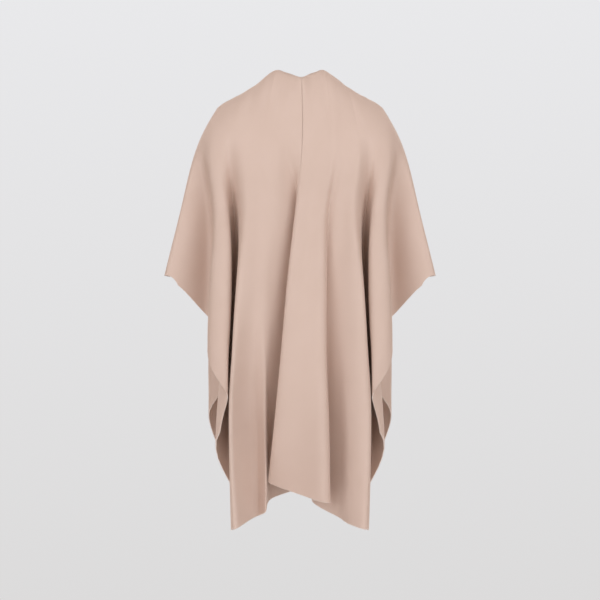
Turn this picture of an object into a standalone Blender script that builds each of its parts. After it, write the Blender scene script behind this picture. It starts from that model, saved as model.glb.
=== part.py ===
"""Draped open-front knit poncho (ruana): two cloth panels joined by one centre back seam.

Units are metres, +Z is up, +Y is the wearer's front, +X is the wearer's right.
The origin is the middle of the shoulder line, where a wearer's shoulders hold the cloth.
"""
import bmesh
import bpy
import numpy as np
from mathutils import Vector

# ---- sizes ------------------------------------------------------------------------------
CLOTH = 0.002              # wall: thickness of the double-faced knit
SEAM_GAP = 0.0003          # clearance between the two panels along the centre back seam
YOKE_HALF_WIDTH = 0.234    # half width of the smooth yoke at the YOKE level
YOKE_DEPTH = 0.105         # centre line to back (and to front) of the yoke
YOKE_POWER = 3.2           # roundness of the yoke's oval section
COLUMNS_PER_FOLD = 4       # mesh columns between two neighbouring fold lines
SLOPE_STEP = 0.02          # parameter step for the surface direction
MERGE_DISTANCE = 1e-6      # vertices closer than this are one vertex
KNIT_COLOUR = (0.62, 0.44, 0.34)   # warm pink beige
KNIT_ROUGHNESS = 0.92

# ---- hang levels: depth below the shoulder line at which each fold line is placed -----------
YOKE, CHEST, CUFF, HIP, THIGH, HEM = 0.12, 0.28, 0.44, 0.60, 0.80, 1.00
LEVELS = np.array([0.0, YOKE, CHEST, CUFF, HIP, THIGH, HEM])
ROWS = np.array([0, .02, .045, .08, .12, .165, .215, .27, .325, .38, .435, .49, .55,
                 .61, .67, .735, .80, .865, .93, 1.0])

# ---- fold lines, seam outwards; x is outward distance except at the centre pleat -----------
# Each row is one fold line of the hanging cloth:
#   start   cloth measured along the shoulder line from the nape
#   top     x, y, z where the line leaves the shoulder line or the neckline
#   yoke    x on the smooth yoke
#   chest, cuff, hip, thigh   x, y of the line at those hang levels
#   hem     x, y, z at the hem (or of the line carried on to that level)
#   edge    hang level at which the cloth ends on this line
FOLD_COLUMNS = ("name", "start", "top", "yoke", "chest", "cuff", "hip", "thigh", "hem", "edge")
SEAM = [
    ("seam", 0, (.0035, -.060, .016), .006, (-.0074, -.122), (-.0254, -.138),
     (-.0403, -.145), (-.0590, -.121), (-.0728, -.078, -.9351), 1.0),
]
BACK_LEFT = [
    ("turn behind centre pleat", .026, (.018, -.042, .0245), .028, (.0035, -.095),
     (.0130, -.090), (.0220, -.086), (.024, -.060), (.0055, -.044, -.954), 1.0),
    ("valley", .055, (.040, -.018, .0350), .055, (.0400, -.118), (.0535, -.120),
     (.0680, -.119), (.0745, -.072), (.0735, -.046, -.9845), 1.0),
    ("wide pleat, inner fold", .085, (.0564, 0, .0410), .080, (.0695, -.127),
     (.0780, -.136), (.0822, -.135), (.0814, -.098), (.0806, -.092, -1.0060), 1.0),
    ("wide pleat, face", .120, (.085, 0, .0225), .102, (.0972, -.1275), (.1037, -.143),
     (.1100, -.136), (.1015, -.084), (.0985, -.066, -1.0185), 1.0),
    ("wide pleat, outer fold", .149, (.108, 0, .0035), .125, (.1225, -.130), (.1390, -.150),
     (.1520, -.162), (.1608, -.171), (.1508, -.177, -1.0345), 1.0),
]
BACK_RIGHT = [
    ("centre pleat, face", .028, (.021, -.040, .0255), .035, (.0185, -.124), (.0138, -.142),
     (.008, -.157), (.0011, -.153), (-.0023, -.108, -.9623), 1.0),
    ("centre pleat, outer fold", .058, (.042, -.016, .0360), .063, (.0548, -.125),
     (.0560, -.143), (.0555, -.159), (.0605, -.171), (.0645, -.146, -.9774), 1.0),
    ("turn under the fold", .085, (.0564, 0, .0410), .074, (.0640, -.121), (.0610, -.126),
     (.0585, -.134), (.0650, -.145), (.0700, -.130, -.979), 1.0),
    ("turn behind centre pleat", .100, (.0686, 0, .0340), .084, (.0690, -.1135),
     (.0605, -.115), (.0560, -.113), (.0430, -.090), (.0293, -.067, -.9848), 1.0),
    ("valley", .120, (.085, 0, .0225), .099, (.0830, -.1185), (.0770, -.121),
     (.0780, -.121), (.0860, -.110), (.0891, -.090, -1.0177), 1.0),
    ("narrow pleat, face", .135, (.097, 0, .0130), .115, (.1020, -.1235), (.1020, -.137),
     (.1070, -.148), (.1180, -.154), (.1200, -.154, -1.028), 1.0),
    ("narrow pleat, outer fold", .149, (.108, 0, .0035), .132, (.1210, -.130),
     (.1385, -.150), (.1505, -.162), (.1593, -.171), (.1503, -.177, -1.0345), 1.0),
]
SIDE = [
    ("turn behind the pleat", .161, (.118, 0, -.0025), .142, (.141, -.110), (.1440, -.126),
     (.1540, -.145), (.1630, -.155), (.1565, -.162, -1.0380), 1.0),
    ("deep gap", .180, (.135, 0, -.0135), .158, (.1575, -.073), (.1525, -.038),
     (.1560, -.030), (.1500, -.044), (.1465, -.068, -1.0), .983),
    ("arm fold, hidden turn", .195, (.148, 0, -.0205), .170, (.1665, -.090), (.1640, -.068),
     (.1735, -.106), (.1838, -.143), (.1825, -.139, -1.0), .814),
    ("arm fold, inner ridge", .206, (.157, 0, -.0250), .185, (.176, -.113), (.1648, -.128),
     (.1654, -.145), (.1668, -.152), (.167, -.152, -1.0), .735),
    ("arm fold, outer ridge", .219, (.168, 0, -.0310), .203, (.196, -.113), (.2015, -.123),
     (.2078, -.136), (.2085, -.138), (.208, -.135, -1.0), .656),
    ("arm fold, outer side", .229, (.177, 0, -.0355), .214, (.2060, -.086), (.2040, -.072),
     (.2045, -.076), (.2060, -.080), (.206, -.080, -1.0), .562),
    ("valley under the arm", .238, (.185, 0, -.0405), .222, (.2200, -.056), (.2160, -.032),
     (.2150, -.032), (.215, -.032), (.215, -.032, -1.0), .552),
    ("arm, back face", .245, (.191, 0, -.0447), .228, (.2520, -.065), (.279, -.070),
     (.310, -.072), (.325, -.072), (.335, -.072, -1.0), .4760),
    ("arm line", .252, (.197, 0, -.0490), .232, (.2735, -.068), (.3130, -.074), (.345, -.074),
     (.365, -.074), (.385, -.074, -1.0), .4525),
]
FRONT = [
    ("arm, front face", .245, (.191, 0, -.0447), .228, (.2590, -.016), (.292, -.020),
     (.290, -.010), (.285, -.010), (.280, -.010, -1.0), .4560),
    ("front, under the arm", .2415, (.1880, 0, -.0425), .2255, (.2500, .044),
     (.252, .044), (.220, .040), (.210, .038), (.205, .038, -1.0), .500),
    ("front valley under the arm", .236, (.183, 0, -.0395), .221, (.228, .066),
     (.214, .060), (.192, .052), (.188, .050), (.185, .050, -1.0), .690),
    ("front flute", .219, (.168, 0, -.0310), .203, (.212, .090), (.2170, .086),
     (.2190, .080), (.2190, .078), (.219, .078, -1.0), .774),
    ("front flute, inner turn", .206, (.157, 0, -.0250), .185, (.186, .112), (.195, .122),
     (.202, .130), (.206, .132), (.205, .130, -1.0), .868),
    ("front side ridge", .180, (.135, 0, -.0135), .158, (.140, .128), (.138, .142),
     (.140, .152), (.142, .160), (.140, .165, -1.0), .985),
    ("front valley", .149, (.108, 0, .0035), .125, (.110, .122), (.108, .118),
     (.108, .115), (.108, .115), (.106, .120, -.985), 1.0),
    ("front edge ridge", .120, (.085, 0, .0225), .095, (.085, .140), (.082, .152),
     (.080, .160), (.078, .168), (.074, .172, -.955), 1.0),
    ("front edge", .085, (.0564, 0, .0410), .066, (.060, .138), (.055, .146), (.050, .148),
     (.045, .152), (.040, .158, -.925), 1.0),
]
NECK_POINT = .085          # start of the line that leaves the top of the neckline


def fold(row):
    """One table row as a dictionary keyed by the column names."""
    return dict(zip(FOLD_COLUMNS, row))


def line_points(row, side, facing):
    """Seven points of a fold line; side is -1 left, +1 right; facing -1 back, +1 front."""
    line = fold(row)
    across = min(abs(line["yoke"]) / YOKE_HALF_WIDTH, 1.0)
    yoke_y = facing * YOKE_DEPTH * (1 - across ** YOKE_POWER) ** (1 / YOKE_POWER)
    points = np.array([
        line["top"],
        (line["yoke"], yoke_y, -YOKE),
        (*line["chest"], -CHEST),
        (*line["cuff"], -CUFF),
        (*line["hip"], -HIP),
        (*line["thigh"], -THIGH),
        line["hem"],
    ])
    points[:, 0] *= side
    return points


def garment_lines():
    """All fold lines around the garment, from the left front edge to the right front edge."""
    left = ([(row, -1, 1) for row in reversed(FRONT)]
            + [(row, -1, -1) for row in reversed(BACK_LEFT + SIDE)])
    middle = [(SEAM[0], 1, -1)]
    right = ([(row, 1, -1) for row in BACK_RIGHT + SIDE]
             + [(row, 1, 1) for row in FRONT])
    return left, middle, right


def cubic(knots, values, at):
    """Natural cubic spline through values at knots, read at the parameters in at."""
    count = len(knots)
    step = np.diff(knots)
    matrix = np.eye(count)
    bend = np.zeros_like(values)
    for i in range(1, count - 1):
        matrix[i, i - 1:i + 2] = step[i - 1], 2 * (step[i - 1] + step[i]), step[i]
        bend[i] = 6 * ((values[i + 1] - values[i]) / step[i]
                       - (values[i] - values[i - 1]) / step[i - 1])
    curve = np.linalg.solve(matrix, bend)
    i = np.clip(np.searchsorted(knots, at) - 1, 0, count - 2)
    width = step[i][:, None]
    before = (knots[i + 1] - at)[:, None] / width
    after = (at - knots[i])[:, None] / width
    return (before * values[i] + after * values[i + 1]
            + ((before ** 3 - before) * curve[i]
               + (after ** 3 - after) * curve[i + 1]) * width ** 2 / 6)


def chord_knots(points):
    """Spline knots spaced by the distance between neighbouring points."""
    gaps = np.linalg.norm(np.diff(points, axis=0), axis=1)
    return np.concatenate([[0], np.cumsum(gaps)])


def between_lines(points, places):
    """Read the curve through one level's points at fractional line numbers."""
    knots = chord_knots(points)
    i = np.clip(np.floor(places).astype(int), 0, len(points) - 2)
    at = knots[i] + (places - i) * (knots[i + 1] - knots[i])
    return cubic(knots, points, at)


class Drape:
    """The hanging cloth as a surface over (line number, hang level)."""

    def __init__(self):
        left, middle, right = garment_lines()
        lines = left + middle + right
        self.numbers = np.arange(len(lines))
        self.seam = len(left)
        self.levels = np.array([line_points(*line) for line in lines])
        self.starts = np.array([fold(line[0])["start"] for line in lines])
        self.edges = np.array([fold(line[0])["edge"] for line in lines])
        self.left_arm = len(FRONT)
        self.right_arm = len(lines) - 1 - len(FRONT)

    def start(self, places):
        """Distance along the shoulder line at which the columns at these places begin."""
        return np.interp(places, self.numbers, self.starts)

    def half(self, right, back):
        """Line numbers of one half's back or front, from the centre out to the arm line."""
        arm = self.right_arm if right else self.left_arm
        front_edge = self.numbers[-1] if right else 0
        centre = self.seam if back else front_edge
        step = 1 if arm > centre else -1
        return np.arange(centre, arm + step, step)

    def place(self, right, back, starts):
        """Line number of the back or front column that begins at each start."""
        half = self.half(right, back)
        return np.interp(starts, self.starts[half], half)

    def columns(self, places, shoulder_places):
        """Column points at the hang levels; the tops are read from the shoulder line."""
        columns = np.stack([between_lines(self.levels[:, level], places)
                            for level in range(len(LEVELS))], axis=1)
        columns[:, 0] = between_lines(self.levels[:, 0], shoulder_places)
        return columns

    def edge(self, places):
        """Hang level where each column ends."""
        return cubic(self.numbers.astype(float), self.edges[:, None], places)[:, 0]

    def surface(self, places, right):
        """Surface points at every column and row, shape (columns, rows, 3)."""
        is_back = (places >= self.left_arm) & (places <= self.right_arm)
        starts = self.start(places)
        back = np.where(is_back, places, self.place(right, True, starts))
        front = np.where(is_back, self.place(right, False, starts), places)
        own = self.columns(places, back)
        twins = self.columns(np.where(is_back, front, back), back)
        neckline = starts < NECK_POINT
        twins[neckline] = self.carried_on(own[neckline], starts[neckline])
        knots = np.concatenate([-LEVELS[:0:-1], LEVELS])
        whole = np.concatenate([twins[:, :0:-1], own], axis=1)
        return np.array([cubic(knots, column, ROWS * edge)
                         for column, edge in zip(whole, self.edge(places))])

    def carried_on(self, columns, starts):
        """Neckline columns carried on past their free top: straight at the nape,
        rolled over like the shoulder line at the neck point."""
        roll = (starts / NECK_POINT)[:, None, None]
        top = columns[:, :1]
        straight = 2 * top - columns
        rolled = columns * (1, -1, 1) + 2 * top * (0, 1, 0)
        return straight + (rolled - straight) * roll

    def seam_directions(self):
        """Unit directions down the centre back seam: square to it and out of the cloth."""
        before, at, after = self.surface(
            self.seam + np.array([-SLOPE_STEP, 0, SLOPE_STEP]), True)
        down = np.gradient(at, axis=0)
        outward = unit(np.cross(down, after - before))
        return unit(np.cross(outward, down)), outward


def unit(vectors):
    """Vectors scaled to length one."""
    return vectors / np.linalg.norm(vectors, axis=-1, keepdims=True)


def column_places(drape, right):
    """Line numbers of one panel's mesh columns, from the seam to the front edge.

    The front columns begin at the same shoulder points as the back ones.
    """
    half = drape.half(right, True)
    back = np.linspace(half[0], half[-1], (len(half) - 1) * COLUMNS_PER_FOLD + 1)
    starts = drape.start(back)
    shared = starts[starts > NECK_POINT - MERGE_DISTANCE]
    front = drape.place(right, False, shared[-2::-1])
    return np.concatenate([back, front])


def panel(name, drape, right, material):
    """One cloth panel as a closed walled solid."""
    places = column_places(drape, right)
    points = drape.surface(places, right)
    across, outward = drape.seam_directions()
    side = 1 if right else -1
    points[0] += across * side * SEAM_GAP / 2
    mesh = bmesh.new()
    columns, rows = len(places), len(ROWS)
    column_of = mesh.verts.layers.int.new("column")
    row_of = mesh.verts.layers.int.new("row")
    bmesh.ops.create_grid(mesh, x_segments=columns - 1, y_segments=rows - 1, size=0.5)
    for vert in mesh.verts:
        vert[column_of] = round((vert.co.x + 0.5) * (columns - 1))
        vert[row_of] = round((vert.co.y + 0.5) * (rows - 1))
        vert.co = points[vert[column_of], vert[row_of]]
    bmesh.ops.remove_doubles(mesh, verts=mesh.verts, dist=MERGE_DISTANCE)
    mesh.normal_update()
    inner = list(mesh.verts)
    lean = {}
    for vert in inner:
        lean[vert[column_of], vert[row_of]] = vert.normal.copy()
    facing = 1 if lean[0, rows // 2].dot(Vector(outward[rows // 2])) > 0 else -1
    for row in range(rows):
        lean[0, row] = Vector(outward[row]) * facing
    lifted = bmesh.ops.extrude_face_region(mesh, geom=mesh.faces[:], use_keep_orig=True)
    outer = [item for item in lifted["geom"] if isinstance(item, bmesh.types.BMVert)]
    for verts, offset in ((inner, -CLOTH / 2), (outer, CLOTH / 2)):
        for vert in verts:
            vert.co += lean[vert[column_of], vert[row_of]] * offset
    bmesh.ops.triangulate(mesh, faces=mesh.faces, quad_method="SHORT_EDGE")
    bmesh.ops.recalc_face_normals(mesh, faces=mesh.faces)
    data = bpy.data.meshes.new(name)
    mesh.to_mesh(data)
    mesh.free()
    data.materials.append(material)
    cloth = bpy.data.objects.new(name, data)
    bpy.context.collection.objects.link(cloth)
    return cloth


def knit_material(name, colour):
    """Soft woollen knit."""
    material = bpy.data.materials.new(name)
    material.use_nodes = True
    shader = material.node_tree.nodes["Principled BSDF"]
    shader.inputs["Base Color"].default_value = (*colour, 1)
    shader.inputs["Roughness"].default_value = KNIT_ROUGHNESS
    shader.inputs["Metallic"].default_value = 0
    return material


def main():
    for item in list(bpy.data.objects):
        bpy.data.objects.remove(item)
    drape = Drape()
    panel("panel_left", drape, False, knit_material("camel knit left", KNIT_COLOUR))
    panel("panel_right", drape, True, knit_material("camel knit right", KNIT_COLOUR))


main()
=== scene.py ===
# %% [markdown]
# # An open-front knit poncho, worn by nobody
# A ruana is two long widths of cloth joined by one seam down the middle of the back.
# It has no sleeves: the wearer's shoulders and arms push the flat cloth out, and what is
# left over falls in deep soft pleats. This lesson makes that fall from a table of fold
# lines, gives the cloth its thickness, its knit face and its seam, and lights it softly.
# Lengths are in metres, +Z is up, and the back faces -Y.

import bmesh
import bpy
import numpy as np
from math import pi
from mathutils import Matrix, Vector, noise


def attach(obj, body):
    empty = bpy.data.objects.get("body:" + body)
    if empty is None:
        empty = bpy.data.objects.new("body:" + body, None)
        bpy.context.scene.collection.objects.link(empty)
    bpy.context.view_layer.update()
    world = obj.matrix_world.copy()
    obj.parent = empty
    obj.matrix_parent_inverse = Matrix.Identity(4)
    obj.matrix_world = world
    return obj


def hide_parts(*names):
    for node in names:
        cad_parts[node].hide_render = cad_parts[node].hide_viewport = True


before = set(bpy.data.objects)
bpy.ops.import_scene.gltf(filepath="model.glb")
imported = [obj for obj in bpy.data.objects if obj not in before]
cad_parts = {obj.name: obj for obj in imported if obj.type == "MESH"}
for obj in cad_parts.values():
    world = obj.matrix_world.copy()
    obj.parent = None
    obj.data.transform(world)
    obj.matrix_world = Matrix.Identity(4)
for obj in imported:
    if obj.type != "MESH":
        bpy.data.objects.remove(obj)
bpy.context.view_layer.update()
print("solids:", sorted(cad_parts))

# %% [markdown]
# ## The camera
# The photograph looks at the back from straight behind, from far enough away for the
# hem and the shoulders to keep their true sizes. A 90 mm lens at 3.6 m gives that view.

# %% Camera
CAMERA_DISTANCE = 3.6
CAMERA_HEIGHT = -0.51      # half-way down the cloth
LENS_MM = 90
SENSOR_MM = 36
PICTURE_PIXELS = 600       # width of the photograph

camera_data = bpy.data.cameras.new("camera")
camera_data.lens = LENS_MM
camera_data.sensor_width = SENSOR_MM
camera = bpy.data.objects.new("camera", camera_data)
camera.location = (0, -CAMERA_DISTANCE, CAMERA_HEIGHT)
camera.rotation_euler = (pi / 2, 0, 0)
bpy.context.collection.objects.link(camera)
bpy.context.scene.camera = camera
picture_width = CAMERA_DISTANCE * SENSOR_MM / LENS_MM
print("one pixel is", round(picture_width / PICTURE_PIXELS * 1000, 2), "mm")

# %% [markdown]
# ## Three helpers
# Artists pick colours as sRGB hex values, and shaders add light in linear numbers, so
# one function turns the first into the second. A second one adds a shader node with its
# settings and links in one call, and a third turns a finished bmesh into an object.


# %% Hex to linear
def linear(hex_colour):
    """An sRGB hex colour as linear red, green, blue and alpha."""
    parts = [int(hex_colour[i:i + 2], 16) / 255 for i in (1, 3, 5)]
    curve = [c / 12.92 if c <= 0.04045 else ((c + 0.055) / 1.055) ** 2.4 for c in parts]
    return (*curve, 1.0)


print("a middle grey in linear light:", [round(c, 3) for c in linear("#808080")])


# %% A shader node
def node(tree, kind, settings=None, **links):
    """Add a node, set its properties, and set or link the inputs named in links:
    i0, i1 ... mean an input by its number."""
    new = tree.nodes.new("ShaderNode" + kind)
    for key, value in (settings or {}).items():
        setattr(new, key, value)
    for key, value in links.items():
        numbered = key[0] == "i" and key[1:].isdigit()
        socket = new.inputs[int(key[1:]) if numbered else key.replace("_", " ")]
        if isinstance(value, bpy.types.NodeSocket):
            tree.links.new(value, socket)
        else:
            socket.default_value = value
    return new


# %% From bmesh to object
def finished(mesh, name):
    """Put a bmesh in a new object at the origin and free it."""
    data = bpy.data.meshes.new(name)
    mesh.to_mesh(data)
    mesh.free()
    piece = bpy.data.objects.new(name, data)
    bpy.context.collection.objects.link(piece)
    return piece


# %% [markdown]
# ## The fold lines
# Cloth that hangs keeps the same pleats all the way down, so each pleat can be followed
# by a few lines: its ridges and its valleys. Every line starts on the shoulder line and
# is placed again at six levels below it. A simulated drape would be quicker to set up,
# but it would never give these very pleats, so they are listed, one row each, and
# joined by smooth curves. The side and the front are the same on the left and the right.

# %% Levels and fold lines
# depths below the shoulders, named for what the cloth hangs beside
YOKE, CHEST, CUFF, HIP, THIGH, HEM = 0.12, 0.28, 0.44, 0.60, 0.80, 1.00
LEVELS = np.array([0.0, YOKE, CHEST, CUFF, HIP, THIGH, HEM])
# at the yoke the cloth lies round the body in a rounded oblong
YOKE_HALF_WIDTH = 0.234
YOKE_DEPTH = 0.105         # from its middle to the back or the front
YOKE_POWER = 3.2           # 2 would be an ellipse, and more is squarer
NECK_POINT = 0.085         # start of the line that leaves the top of the neckline

# start: cloth from the nape along the shoulder line; top: x, y, z; yoke: x;
# chest to thigh: x, y; hem: x, y, z; edge: the level at which the cloth ends;
# lean: how far the line leans from the grain of the flat cloth, in degrees
FOLD_COLUMNS = ("name", "start", "top", "yoke", "chest", "cuff", "hip", "thigh", "hem",
                "edge", "lean")
SEAM = [
    ("seam", 0, (.0035, -.060, .016), .006, (-.0074, -.122), (-.0254, -.138),
     (-.0403, -.145), (-.0590, -.121), (-.0728, -.078, -.9351), 1.0, 0),
]
BACK_LEFT = [
    ("turn behind centre pleat", .026, (.018, -.042, .0245), .028, (.0035, -.095),
     (.0130, -.090), (.0220, -.086), (.024, -.060), (.0055, -.044, -.954), 1.0, 6),
    ("valley", .055, (.040, -.018, .0350), .055, (.0400, -.118), (.0535, -.120),
     (.0680, -.119), (.0745, -.072), (.0735, -.046, -.9845), 1.0, 10),
    ("wide pleat, inner fold", .085, (.0564, 0, .0410), .080, (.0695, -.127),
     (.0780, -.136), (.0822, -.135), (.0814, -.098), (.0806, -.092, -1.0060), 1.0, 12),
    ("wide pleat, face", .120, (.085, 0, .0225), .102, (.0972, -.1275), (.1037, -.143),
     (.1100, -.136), (.1015, -.084), (.0985, -.066, -1.0185), 1.0, 13),
    ("wide pleat, outer fold", .149, (.108, 0, .0035), .125, (.1225, -.130), (.1390, -.150),
     (.1520, -.162), (.1608, -.171), (.1508, -.177, -1.0345), 1.0, 15),
]
BACK_RIGHT = [
    ("centre pleat, face", .028, (.021, -.040, .0255), .035, (.0185, -.124), (.0138, -.142),
     (.008, -.157), (.0011, -.153), (-.0023, -.108, -.9623), 1.0, 3),
    ("centre pleat, outer fold", .058, (.042, -.016, .0360), .063, (.0548, -.125),
     (.0560, -.143), (.0555, -.159), (.0605, -.171), (.0645, -.146, -.9774), 1.0, 6),
    ("turn under the fold", .085, (.0564, 0, .0410), .074, (.0640, -.121), (.0610, -.126),
     (.0585, -.134), (.0650, -.145), (.0700, -.130, -.979), 1.0, 8),
    ("turn behind centre pleat", .100, (.0686, 0, .0340), .084, (.0690, -.1135),
     (.0605, -.115), (.0560, -.113), (.0430, -.090), (.0293, -.067, -.9848), 1.0, 6),
    ("valley", .120, (.085, 0, .0225), .099, (.0830, -.1185), (.0770, -.121),
     (.0780, -.121), (.0860, -.110), (.0891, -.090, -1.0177), 1.0, 10),
    ("narrow pleat, face", .135, (.097, 0, .0130), .115, (.1020, -.1235), (.1020, -.137),
     (.1070, -.148), (.1180, -.154), (.1200, -.154, -1.028), 1.0, 12),
    ("narrow pleat, outer fold", .149, (.108, 0, .0035), .132, (.1210, -.130),
     (.1385, -.150), (.1505, -.162), (.1593, -.171), (.1503, -.177, -1.0345), 1.0, 15),
]
SIDE = [
    ("turn behind the pleat", .161, (.118, 0, -.0025), .142, (.141, -.110), (.1440, -.126),
     (.1540, -.145), (.1630, -.155), (.1565, -.162, -1.0380), 1.0, 16),
    ("deep gap", .180, (.135, 0, -.0135), .158, (.1575, -.073), (.1525, -.038),
     (.1560, -.030), (.1500, -.044), (.1465, -.068, -1.0), .983, 19),
    ("arm fold, hidden turn", .195, (.148, 0, -.0205), .170, (.1665, -.090), (.1640, -.068),
     (.1735, -.106), (.1838, -.143), (.1825, -.139, -1.0), .814, 26),
    ("arm fold, inner ridge", .206, (.157, 0, -.0250), .185, (.176, -.113), (.1648, -.128),
     (.1654, -.145), (.1668, -.152), (.167, -.152, -1.0), .735, 35),
    ("arm fold, outer ridge", .219, (.168, 0, -.0310), .203, (.196, -.113), (.2015, -.123),
     (.2078, -.136), (.2085, -.138), (.208, -.135, -1.0), .656, 44),
    ("arm fold, outer side", .229, (.177, 0, -.0355), .214, (.2060, -.086), (.2040, -.072),
     (.2045, -.076), (.2060, -.080), (.206, -.080, -1.0), .562, 57),
    ("valley under the arm", .238, (.185, 0, -.0405), .222, (.2200, -.056), (.2160, -.032),
     (.2150, -.032), (.215, -.032), (.215, -.032, -1.0), .552, 65),
    ("arm, back face", .245, (.191, 0, -.0447), .228, (.2520, -.065), (.279, -.070),
     (.310, -.072), (.325, -.072), (.335, -.072, -1.0), .4760, 78),
    ("arm line", .252, (.197, 0, -.0490), .232, (.2735, -.068), (.3130, -.074), (.345, -.074),
     (.365, -.074), (.385, -.074, -1.0), .4525, 90),
]
FRONT = [
    ("arm, front face", .245, (.191, 0, -.0447), .228, (.2590, -.016), (.292, -.020),
     (.290, -.010), (.285, -.010), (.280, -.010, -1.0), .4560, 101),
    ("front, under the arm", .2415, (.1880, 0, -.0425), .2255, (.2500, .044),
     (.252, .044), (.220, .040), (.210, .038), (.205, .038, -1.0), .500, 108),
    ("front valley under the arm", .236, (.183, 0, -.0395), .221, (.228, .066),
     (.214, .060), (.192, .052), (.188, .050), (.185, .050, -1.0), .690, 119),
    ("front flute", .219, (.168, 0, -.0310), .203, (.212, .090), (.2170, .086),
     (.2190, .080), (.2190, .078), (.219, .078, -1.0), .774, 134),
    ("front flute, inner turn", .206, (.157, 0, -.0250), .185, (.186, .112), (.195, .122),
     (.202, .130), (.206, .132), (.205, .130, -1.0), .868, 146),
    ("front side ridge", .180, (.135, 0, -.0135), .158, (.140, .128), (.138, .142),
     (.140, .152), (.142, .160), (.140, .165, -1.0), .985, 168),
    ("front valley", .149, (.108, 0, .0035), .125, (.110, .122), (.108, .118),
     (.108, .115), (.108, .115), (.106, .120, -.985), 1.0, 174),
    ("front edge ridge", .120, (.085, 0, .0225), .095, (.085, .140), (.082, .152),
     (.080, .160), (.078, .168), (.074, .172, -.955), 1.0, 178),
    ("front edge", .085, (.0564, 0, .0410), .066, (.060, .138), (.055, .146), (.050, .148),
     (.045, .152), (.040, .158, -.925), 1.0, 180),
]

print("fold lines:", len(SEAM + BACK_LEFT + BACK_RIGHT + 2 * (SIDE + FRONT)))


# %% From table rows to points
def fold(row):
    """One table row as a dictionary keyed by the column names."""
    return dict(zip(FOLD_COLUMNS, row))


def line_points(row, side, facing):
    """Seven points of a fold line; side is -1 left, +1 right; facing -1 back, +1 front."""
    line = fold(row)
    across = min(abs(line["yoke"]) / YOKE_HALF_WIDTH, 1.0)
    yoke_y = facing * YOKE_DEPTH * (1 - across ** YOKE_POWER) ** (1 / YOKE_POWER)
    points = np.array([
        line["top"],
        (line["yoke"], yoke_y, -YOKE),
        (*line["chest"], -CHEST),
        (*line["cuff"], -CUFF),
        (*line["hip"], -HIP),
        (*line["thigh"], -THIGH),
        line["hem"],
    ])
    points[:, 0] *= side
    return points


LEFT = [(row, -1, 1) for row in reversed(FRONT)]
LEFT += [(row, -1, -1) for row in reversed(BACK_LEFT + SIDE)]
RIGHT = [(row, 1, -1) for row in BACK_RIGHT + SIDE] + [(row, 1, 1) for row in FRONT]
LINES = LEFT + [(SEAM[0], 1, -1)] + RIGHT
print("hem height at the seam:", line_points(SEAM[0], 1, -1)[-1][2])

# %% [markdown]
# ## Smooth curves through the lines
# A natural cubic spline bends as evenly as a thin strip of wood pushed through pins.
# Read across the fold lines it gives the pleats at one level; read down a line it
# gives the fall. Together they are the surface of the cloth.


# %% Spline
def cubic(knots, values, at):
    """Natural cubic spline through values at knots, read at the parameters in at."""
    count = len(knots)
    step = np.diff(knots)
    matrix = np.eye(count)
    bend = np.zeros_like(values)
    for i in range(1, count - 1):
        matrix[i, i - 1:i + 2] = step[i - 1], 2 * (step[i - 1] + step[i]), step[i]
        bend[i] = 6 * ((values[i + 1] - values[i]) / step[i]
                       - (values[i] - values[i - 1]) / step[i - 1])
    curve = np.linalg.solve(matrix, bend)
    i = np.clip(np.searchsorted(knots, at) - 1, 0, count - 2)
    width = step[i][:, None]
    before = (knots[i + 1] - at)[:, None] / width
    after = (at - knots[i])[:, None] / width
    return (before * values[i] + after * values[i + 1]
            + ((before ** 3 - before) * curve[i]
               + (after ** 3 - after) * curve[i + 1]) * width ** 2 / 6)


def between_lines(points, places):
    """Read the curve through one level's points at fractional line numbers."""
    gaps = np.linalg.norm(np.diff(points, axis=0), axis=1)
    knots = np.concatenate([[0], np.cumsum(gaps)])
    i = np.clip(np.floor(places).astype(int), 0, len(points) - 2)
    return cubic(knots, points, knots[i] + (places - i) * gaps[i])


demo = cubic(np.arange(3.0), np.array([[0.0], [1.0], [0.0]]), np.array([0.5]))
print("half-way up a bump of height 1:", round(demo[0, 0], 3))

# %% The lines as arrays
NUMBERS = np.arange(len(LINES))
SEAM_LINE = len(LEFT)
POINTS = np.array([line_points(*line) for line in LINES])
STARTS = np.array([fold(line[0])["start"] for line in LINES])
EDGES = np.array([fold(line[0])["edge"] for line in LINES])
LEANS = np.radians([fold(line[0])["lean"] for line in LINES])
LEFT_ARM = len(FRONT)
RIGHT_ARM = len(LINES) - 1 - len(FRONT)
print("arm lines:", LEFT_ARM, RIGHT_ARM, "seam line:", SEAM_LINE)


# %% Back and front columns that meet on the shoulder
def half(right, back):
    """Line numbers of one half's back or front, from the centre out to the arm line."""
    arm = RIGHT_ARM if right else LEFT_ARM
    front_edge = NUMBERS[-1] if right else 0
    centre = SEAM_LINE if back else front_edge
    step = 1 if arm > centre else -1
    return np.arange(centre, arm + step, step)


def place(right, back, starts):
    """Line number of the back or front column that begins at each start."""
    lines = half(right, back)
    return np.interp(starts, STARTS[lines], lines)


def columns(places, shoulder_places):
    """Column points at the hang levels; the tops are read from the shoulder line."""
    found = np.stack([between_lines(POINTS[:, level], places)
                      for level in range(len(LEVELS))], axis=1)
    found[:, 0] = between_lines(POINTS[:, 0], shoulder_places)
    return found


def carried_on(found, starts):
    """Neckline columns carried on past their free top: straight at the nape,
    rolled over like the shoulder line at the neck point."""
    roll = (starts / NECK_POINT)[:, None, None]
    top = found[:, :1]
    straight = 2 * top - found
    rolled = found * (1, -1, 1) + 2 * top * (0, 1, 0)
    return straight + (rolled - straight) * roll


print("the right back column at 0.1 m is line", place(True, True, np.array([0.1]))[0])


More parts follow.
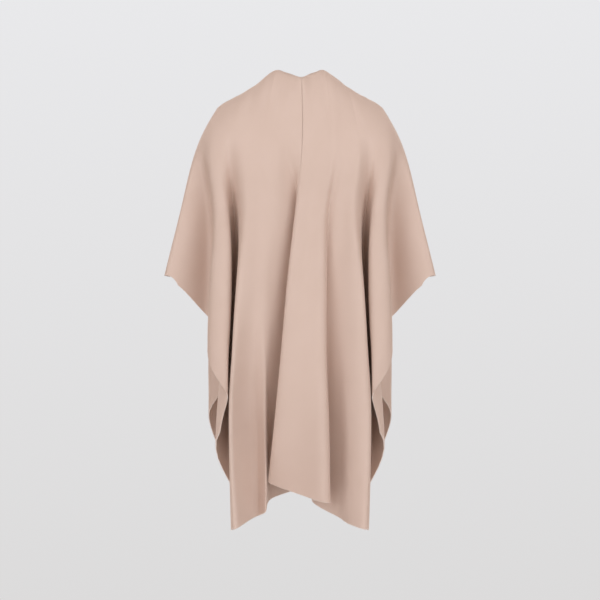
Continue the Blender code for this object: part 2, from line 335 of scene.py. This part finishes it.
# %% The surface of the cloth
def surface(places, right, rows):
    """Surface points at every column and row, shape (columns, rows, 3)."""
    is_back = (places >= LEFT_ARM) & (places <= RIGHT_ARM)
    starts = np.interp(places, NUMBERS, STARTS)
    back = np.where(is_back, places, place(right, True, starts))
    front = np.where(is_back, place(right, False, starts), places)
    own = columns(places, back)
    twins = columns(np.where(is_back, front, back), back)
    neckline = starts < NECK_POINT
    twins[neckline] = carried_on(own[neckline], starts[neckline])
    knots = np.concatenate([-LEVELS[:0:-1], LEVELS])
    whole = np.concatenate([twins[:, :0:-1], own], axis=1)
    edges = cubic(NUMBERS.astype(float), EDGES[:, None], places)[:, 0]
    return np.array([cubic(knots, column, rows * edge) for column, edge in zip(whole, edges)])


print("cuff:", surface(np.array([float(RIGHT_ARM)]), True, np.array([0.0, 1.0]))[0, -1].round(3))

# %% [markdown]
# ## Small unevenness
# The splines are too clean for cloth that someone has just put on. Slow noise, long in
# the direction of the fall and short across it, pushes the surface in and out by a
# millimetre or two: nothing at the yoke, where the cloth lies on the shoulders, and more
# towards the hem.

# %% Waviness
WAVE_DEPTH = 0.0016
WAVE_ACROSS = 22           # waves per metre of cloth, across the fall
WAVE_DOWN = 3              # and down it
WAVE_GROWS = 0.35          # metres below the yoke until the waves are whole
WAVE_SLICE = 3.7           # which slice of the noise is used


def waviness(across, down):
    """How far one point of the cloth stands out of its smooth surface."""
    grow = min(max((abs(down) - YOKE) / WAVE_GROWS, 0), 1)
    wave = noise.noise(Vector((across * WAVE_ACROSS, down * WAVE_DOWN, WAVE_SLICE)))
    return WAVE_DEPTH * grow * wave


print("waviness at the hem, mm:", round(waviness(0.3, 1.0) * 1000, 2))

# %% [markdown]
# ## A panel of cloth
# A flat grid of squares is the cut cloth. Each vertex remembers its column and row, so
# it can be moved to its draped place. The shoulder line is where the back's and the
# front's first rows meet: their doubles are merged, and a second copy of the cloth is
# lifted off the first, with a strip between them all round, to give the wall. A Solidify
# modifier would do that too, but it would tilt the wall at the seam, where the two
# panels have to stand side by side.

# %% Panel sizes
CLOTH = 0.002              # thickness of the double-faced knit
SEAM_GAP = 0.0003          # the panels' clearance at the seam
COLUMNS_PER_FOLD = 8       # mesh columns from one fold line to the next
RIM = 0.0018               # the last strip of cloth before a cut edge
SAME_PLACE = 1e-6          # vertices nearer than this are one
SHOULDER_ROWS = np.linspace(0, YOKE, 13)
HANGING_ROWS = np.linspace(YOKE, 1, 76)
ROWS = np.concatenate([SHOULDER_ROWS[:-1], HANGING_ROWS[:-1], [1 - RIM, 1]])
print("rows down the panel:", len(ROWS))


def unit(vectors):
    """Vectors scaled to length one."""
    return vectors / np.linalg.norm(vectors, axis=-1, keepdims=True)


# %% Which columns a panel has
def column_places(right):
    """Line numbers of one panel's mesh columns, from the seam to the front edge."""
    lines = half(right, True)
    back = np.linspace(lines[0], lines[-1], (len(lines) - 1) * COLUMNS_PER_FOLD + 1)
    rims = place(right, True, np.array([RIM, NECK_POINT + RIM]))
    back = np.concatenate([back, rims])
    back = back[np.argsort(np.abs(back - lines[0]))]
    starts = np.interp(back, NUMBERS, STARTS)
    shared = starts[starts > NECK_POINT - SAME_PLACE]
    return np.concatenate([back, place(right, False, shared[-2::-1])])


print("columns across the right panel:", len(column_places(True)))


# %% Flat cloth coordinates
def flat_coordinates(places, points):
    """Place of each vertex on the flat cloth, in metres: across from the seam, and down
    from the shoulder, where the front counts as negative."""
    starts = np.interp(places, NUMBERS, STARTS)
    leans = np.interp(places, NUMBERS, LEANS)
    steps = np.linalg.norm(np.diff(points, axis=1), axis=2)
    run = np.concatenate([np.zeros((len(places), 1)), np.cumsum(steps, axis=1)], axis=1)
    across = starts[:, None] + run * np.sin(leans)[:, None]
    return np.stack([across, run * np.cos(leans)[:, None]], axis=2)


# %% Seam directions
def seam_directions(rows):
    """Unit directions down the centre back seam: square to it and out of the cloth."""
    nudge = 0.02           # of the way to the next fold line
    before, at, after = surface(SEAM_LINE + np.array([-nudge, 0, nudge]), True, rows)
    down = np.gradient(at, axis=0)
    outward = unit(np.cross(down, after - before))
    return unit(np.cross(outward, down)), outward


SQUARE_TO_SEAM, OUT_OF_SEAM = seam_directions(ROWS)
print("out of the cloth at the nape:", OUT_OF_SEAM[0].round(2))


# %% The cut cloth
def cut_cloth(mesh, flat):
    """A flat grid whose vertices know their column and row, whose last column and row
    are marked as cut edges, which get a painted highlight, and whose UV map is the flat cloth."""
    last_column, last_row = flat.shape[0] - 1, flat.shape[1] - 1
    column_of = mesh.verts.layers.int.new("column")
    row_of = mesh.verts.layers.int.new("row")
    # the cut edges are marked here so that they get a painted highlight
    edge_highlight_of = mesh.verts.layers.float.new("cut_edge_highlight")
    bmesh.ops.create_grid(mesh, x_segments=last_column, y_segments=last_row, size=0.5)
    for vert in mesh.verts:
        vert[column_of] = round((vert.co.x + 0.5) * last_column)
        vert[row_of] = round((vert.co.y + 0.5) * last_row)
        vert[edge_highlight_of] = vert[row_of] == last_row or vert[column_of] == last_column
    knit_uv = mesh.loops.layers.uv.new("knit")
    for face in mesh.faces:
        for loop in face.loops:
            loop[knit_uv].uv = flat[loop.vert[column_of], loop.vert[row_of]]
    return column_of, row_of


# %% The wall of the cloth
def give_wall(mesh, flat, column_of, row_of):
    """Lift a second copy off the draped cloth, along its normals, and let both wave.
    At the seam the normals are the seam's own, the same for the left and the right."""
    mesh.normal_update()
    inner = list(mesh.verts)
    normals = {(vert[column_of], vert[row_of]): vert.normal.copy() for vert in inner}
    middle = len(ROWS) // 2
    facing = 1 if normals[0, middle].dot(Vector(OUT_OF_SEAM[middle])) > 0 else -1
    for row, outward in enumerate(OUT_OF_SEAM):
        normals[0, row] = Vector(outward) * facing
    lifted = bmesh.ops.extrude_face_region(mesh, geom=mesh.faces[:], use_keep_orig=True)
    outer = [item for item in lifted["geom"] if isinstance(item, bmesh.types.BMVert)]
    for verts, offset in ((inner, -CLOTH / 2), (outer, CLOTH / 2)):
        for vert in verts:
            column, row = vert[column_of], vert[row_of]
            wave = 0 if column == 0 else waviness(*flat[column, row]) * facing
            vert.co += normals[column, row] * (offset + wave)


# %% A draped panel
def panel(name, right):
    """One panel: cut cloth moved to its place on the drape, then given its wall."""
    places = column_places(right)
    points = surface(places, right, ROWS)
    points[0] += SQUARE_TO_SEAM * (1 if right else -1) * SEAM_GAP / 2
    flat = flat_coordinates(places, points)
    mesh = bmesh.new()
    column_of, row_of = cut_cloth(mesh, flat)
    for vert in mesh.verts:
        vert.co = points[vert[column_of], vert[row_of]]
    bmesh.ops.remove_doubles(mesh, verts=mesh.verts, dist=SAME_PLACE)
    give_wall(mesh, flat, column_of, row_of)
    bmesh.ops.recalc_face_normals(mesh, faces=mesh.faces)
    for face in mesh.faces:
        face.smooth = True
    return finished(mesh, name)


# %% The two panels
left_panel = panel("cloth_left", False)
right_panel = panel("cloth_right", True)
print("faces:", len(left_panel.data.polygons), len(right_panel.data.polygons))

# %% [markdown]
# ## The thread of the seam
# The two panels are linked edge to edge, so from outside the seam is only a fine line.
# Behind it runs the chain of the linking thread, which also keeps light from passing
# between the panels. Single stitches would never be seen, so it is one tube that swells
# at every stitch: a grid again, rolled round the seam's own line.

# %% Linking thread
THREAD = 0.0007            # radius of the chain
THREAD_BEHIND = 1.6        # radii from the cloth's inner face to the chain's middle
THREAD_SWELL = 0.3         # how much wider and narrower it is along a stitch
THREAD_SIDES = 6
STITCH_ROWS = 4            # mesh rows along one stitch
THREAD_ROWS = np.linspace(0.002, 0.998, 720)


def linking_thread(name):
    """A beaded tube just behind the seam, from the nape to the hem."""
    path = surface(np.array([float(SEAM_LINE)]), True, THREAD_ROWS)[0]
    square, outward = seam_directions(THREAD_ROWS)
    middle = path - outward * (CLOTH / 2 + THREAD_BEHIND * THREAD)
    stitches = np.arange(len(THREAD_ROWS)) / STITCH_ROWS
    radius = THREAD * (1 + THREAD_SWELL * np.cos(2 * pi * stitches))
    mesh = bmesh.new()
    last_row = len(THREAD_ROWS) - 1
    bmesh.ops.create_grid(mesh, x_segments=THREAD_SIDES, y_segments=last_row, size=0.5)
    for vert in mesh.verts:
        row = round((vert.co.y + 0.5) * last_row)
        turn = 2 * pi * round((vert.co.x + 0.5) * THREAD_SIDES) / THREAD_SIDES
        arm = square[row] * np.cos(turn) + outward[row] * np.sin(turn)
        vert.co = middle[row] + radius[row] * arm
    bmesh.ops.remove_doubles(mesh, verts=mesh.verts, dist=SAME_PLACE)
    bmesh.ops.holes_fill(mesh, edges=mesh.edges, sides=THREAD_SIDES)
    bmesh.ops.recalc_face_normals(mesh, faces=mesh.faces)
    for face in mesh.faces:
        face.smooth = len(face.verts) == 4
    return finished(mesh, name)


seam_thread = linking_thread("seam_linking")
print("stitches in the seam:", len(THREAD_ROWS) // STITCH_ROWS)

# %% [markdown]
# ## Fulled wool knit
# The cloth is a double-faced wool knit that has been washed until its stitches close up,
# which is called fulling. From a step away it is smooth and matt, with a soft sheen of
# short fibres; from near, fine columns of stitches show. Real stitches would be millions
# of faces, so a bump gives their relief on the flat cloth's own coordinates, and sheen
# gives the fibres. The cut edges are left raw, and the light they catch is painted into
# the colour as a painted highlight: a thin pale line.

# %% Knit material
WALE = 0.0030              # a column of stitches: really about 1.7 mm, too fine to show
COURSE = 0.0024            # the height of a stitch, drawn as coarse as its width
FIBRE = 0.0009             # length of the fulled surface's flecks
STITCH_SHARE = 0.35        # relief along a column, where 1 is that across it
FIBRE_SHARE = 1.6          # relief of the fibres on the same scale
RELIEF = 0.0003            # depth of the whole relief
CLOUDS = 9                 # soft changes of tone in a metre of cloth


def fulled_knit(name, colour, shade, edge):
    """Matt fulled wool with stitches that follow the flat cloth and a painted highlight on its
    edges.
    """
    material = bpy.data.materials.new(name)
    material.use_nodes = True
    tree = material.node_tree
    shader = tree.nodes["Principled BSDF"]
    shader.inputs["Roughness"].default_value = 0.9
    shader.inputs["Specular IOR Level"].default_value = 0.25
    shader.inputs["Sheen Weight"].default_value = 0.5
    shader.inputs["Sheen Roughness"].default_value = 0.35
    shader.inputs["Sheen Tint"].default_value = linear("#F4E6DC")
    uv = node(tree, "UVMap", {"uv_map": "knit"}).outputs["UV"]
    flat = node(tree, "SeparateXYZ", Vector=uv)
    wales = node(tree, "Math", {"operation": "DIVIDE"}, i0=flat.outputs["X"], i1=WALE)
    within = node(tree, "Math", {"operation": "PINGPONG"}, i0=wales.outputs[0], i1=0.5)
    courses = node(tree, "Math", {"operation": "DIVIDE"}, i0=flat.outputs["Y"], i1=COURSE)
    slant = node(tree, "Math", {"operation": "ADD"}, i0=courses.outputs[0], i1=within.outputs[0])
    turns = node(tree, "Math", {"operation": "MULTIPLY"}, i0=slant.outputs[0], i1=2 * pi)
    stitch = node(tree, "Math", {"operation": "SINE"}, i0=turns.outputs[0])
    leg_turns = node(tree, "Math", {"operation": "MULTIPLY"}, i0=within.outputs[0], i1=2 * pi)
    leg = node(tree, "Math", {"operation": "SINE"}, i0=leg_turns.outputs[0])
    height = node(tree, "Math", {"operation": "MULTIPLY_ADD"}, i0=stitch.outputs[0],
                  i1=STITCH_SHARE, i2=leg.outputs[0])
    scaled = node(tree, "VectorMath", {"operation": "SCALE"}, i0=uv, i3=1 / FIBRE)
    fibres = node(tree, "TexNoise", Vector=scaled.outputs[0], Scale=1.0, Detail=3.0, Roughness=0.6)
    fuzz = node(tree, "Math", {"operation": "MULTIPLY_ADD"}, i0=fibres.outputs[0],
                i1=FIBRE_SHARE, i2=height.outputs[0])
    bump = node(tree, "Bump", Height=fuzz.outputs[0], Strength=0.28, Distance=RELIEF)
    tree.links.new(bump.outputs[0], shader.inputs["Normal"])
    cloud = node(tree, "TexNoise", Vector=uv, Scale=CLOUDS, Detail=2.0)
    tone = node(tree, "Math", {"operation": "MULTIPLY_ADD"}, i0=cloud.outputs[0], i1=0.5,
                i2=fibres.outputs[0])
    fleck = node(tree, "MapRange", Value=tone.outputs[0], From_Min=0.45, From_Max=1.05)
    face = node(tree, "Mix", {"data_type": "RGBA"}, i0=fleck.outputs[0], i6=linear(shade),
                i7=linear(colour))
    # painted highlight: a pale colour mixed in along the cut edges, where they catch the light
    cut = node(tree, "Attribute", {"attribute_name": "cut_edge_highlight"})
    whole = node(tree, "Mix", {"data_type": "RGBA"}, i0=cut.outputs["Fac"], i6=face.outputs[2],
                 i7=linear(edge))
    tree.links.new(whole.outputs[2], shader.inputs["Base Color"])
    return material


# the third colour is the painted highlight along the cut edges
knit = fulled_knit("fulled_wool_knit", "#DAC6BB", "#D2BDB0", "#F2E9E2")
for cloth in (left_panel, right_panel):
    cloth.data.materials.append(knit)
print("a stitch is drawn", round(WALE * 1000, 1), "mm wide")

# %% [markdown]
# ## Spun wool yarn
# The linking thread is plain spun yarn of the same wool. It isn't fulled, so it has no
# nap that catches the light, and looks a little darker than the cloth. Plain rough
# colour is enough for a thread that is seen only from within.

# %% Yarn material
yarn = bpy.data.materials.new("spun_wool_yarn")
yarn.use_nodes = True
yarn_shader = yarn.node_tree.nodes["Principled BSDF"]
yarn_shader.inputs["Base Color"].default_value = linear("#B39A8A")
yarn_shader.inputs["Roughness"].default_value = 0.85
seam_thread.data.materials.append(yarn)
print("the seam's thread is", yarn.name)

# %% [markdown]
# ## Each piece on the body
# Each panel stands for its solid, which is hidden, and hangs from the root body, as the
# seam's thread does. The cut isn't a rectangle: it is widest at the arm.

# %% Frame facts
for cloth, side in ((left_panel, "left"), (right_panel, "right")):
    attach(cloth, "root")
    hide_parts("panel_" + side)
    print(cloth.name, "stands for panel_" + side)
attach(seam_thread, "root")

# %% [markdown]
# ## A plain pale studio
# The photograph was taken in front of a pale paper sweep, which has no horizon. The floor
# lies where a wearer's feet would stand. It reaches from there towards the camera, gives
# its light to the cloth from below, and dissolves into the paper all round.

# %% Floor
FLOOR_HEIGHT = -1.45
FLOOR_SIZE = 4.4
TO_FLOOR_MIDDLE = (0, 0.8, 0)  # the fade is centred 0.8 m nearer the camera
SOLID_RADIUS, FADED_RADIUS = 0.9, 1.8

floor_mesh = bmesh.new()
bmesh.ops.create_grid(floor_mesh, x_segments=1, y_segments=1, size=FLOOR_SIZE / 2)
bmesh.ops.translate(floor_mesh, verts=floor_mesh.verts, vec=(0, 0, FLOOR_HEIGHT))
floor = finished(floor_mesh, "floor")
print("floor", -FLOOR_HEIGHT, "m below the shoulders")

# %% Paper
paper = bpy.data.materials.new("matt_background_paper")
paper.use_nodes = True
tree = paper.node_tree
sheet = tree.nodes["Principled BSDF"]
sheet.inputs["Base Color"].default_value = linear("#F2F1F1")
sheet.inputs["Roughness"].default_value = 1
place_on_floor = node(tree, "TexCoord").outputs["Object"]
flat_place = node(tree, "VectorMath", {"operation": "MULTIPLY_ADD"}, i0=place_on_floor,
                  i1=(1, 1, 0), i2=TO_FLOOR_MIDDLE)
radius = node(tree, "VectorMath", {"operation": "LENGTH"}, i0=flat_place.outputs[0])
fade = node(tree, "MapRange", {"interpolation_type": "SMOOTHSTEP"},
            Value=radius.outputs["Value"], From_Min=SOLID_RADIUS, From_Max=FADED_RADIUS)
gone = node(tree, "BsdfTransparent")
both = node(tree, "MixShader", i0=fade.outputs[0], i1=sheet.outputs[0], i2=gone.outputs[0])
tree.links.new(both.outputs[0], tree.nodes["Material Output"].inputs["Surface"])
floor.data.materials.append(paper)
print("the floor is gone", FADED_RADIUS, "m from its middle")

# %% [markdown]
# ## Soft light
# Two very broad soft boxes stand left and right of the camera and wrap round the cloth,
# so that its faces stay bright to their edges and only the depths of the pleats lie in
# shade. A weak one overhead shapes the shoulders. Two more light the front of the garment,
# which the photograph doesn't show. The sky gives a weak warm light, as a room does, and
# the camera sees it as pale paper.


# %% Lamps
def lamp(name, location, size, power):
    """A square soft box aimed at the middle of the cloth, itself out of sight."""
    data = bpy.data.lights.new(name, "AREA")
    data.size = size
    data.energy = power
    data.color = linear("#F6FAFF")[:3]
    box = bpy.data.objects.new(name, data)
    box.location = location
    aim = Vector((0, 0, CAMERA_HEIGHT)) - box.location
    box.rotation_euler = aim.to_track_quat("-Z", "Y").to_euler()
    box.visible_camera = False
    bpy.context.collection.objects.link(box)


for side in (-1, 1):
    lamp("camera_soft_box", (side * 2.1, -2.9, 0.8), size=3.6, power=77.5)
    lamp("far_soft_box", (side * 2.2, 2.9, 0.6), size=1.8, power=60)
lamp("overhead_soft_box", (0, -1.0, 2.4), size=2.0, power=11)
lit = [item.name for item in bpy.data.objects if item.type == "LIGHT"]
print("lamps:", len(lit))

# %% Sky
world = bpy.data.worlds.new("studio")
world.use_nodes = True
bpy.context.scene.world = world
tree = world.node_tree
direction = node(tree, "TexCoord").outputs["Generated"]
height = node(tree, "SeparateXYZ", Vector=direction).outputs["Z"]
rise = node(tree, "MapRange", Value=height, From_Min=-0.2, From_Max=0.2)
# painted shade: the paper the camera sees is painted darker towards the bottom
shade = node(tree, "Mix", {"data_type": "RGBA"}, i0=rise.outputs[0], i6=linear("#DCDBDB"),
             i7=linear("#E9E9EB"))
seen = tree.nodes["Background"]
tree.links.new(shade.outputs[2], seen.inputs["Color"])
given = node(tree, "Background", Color=linear("#FFD2AE"), Strength=0.27)
path = node(tree, "LightPath")
either = node(tree, "MixShader", i0=path.outputs["Is Camera Ray"], i1=given.outputs[0],
              i2=seen.outputs[0])
tree.links.new(either.outputs[0], tree.nodes["World Output"].inputs["Surface"])
bpy.context.scene.view_settings.view_transform = "Standard"
print("paper colours and a warm room light")
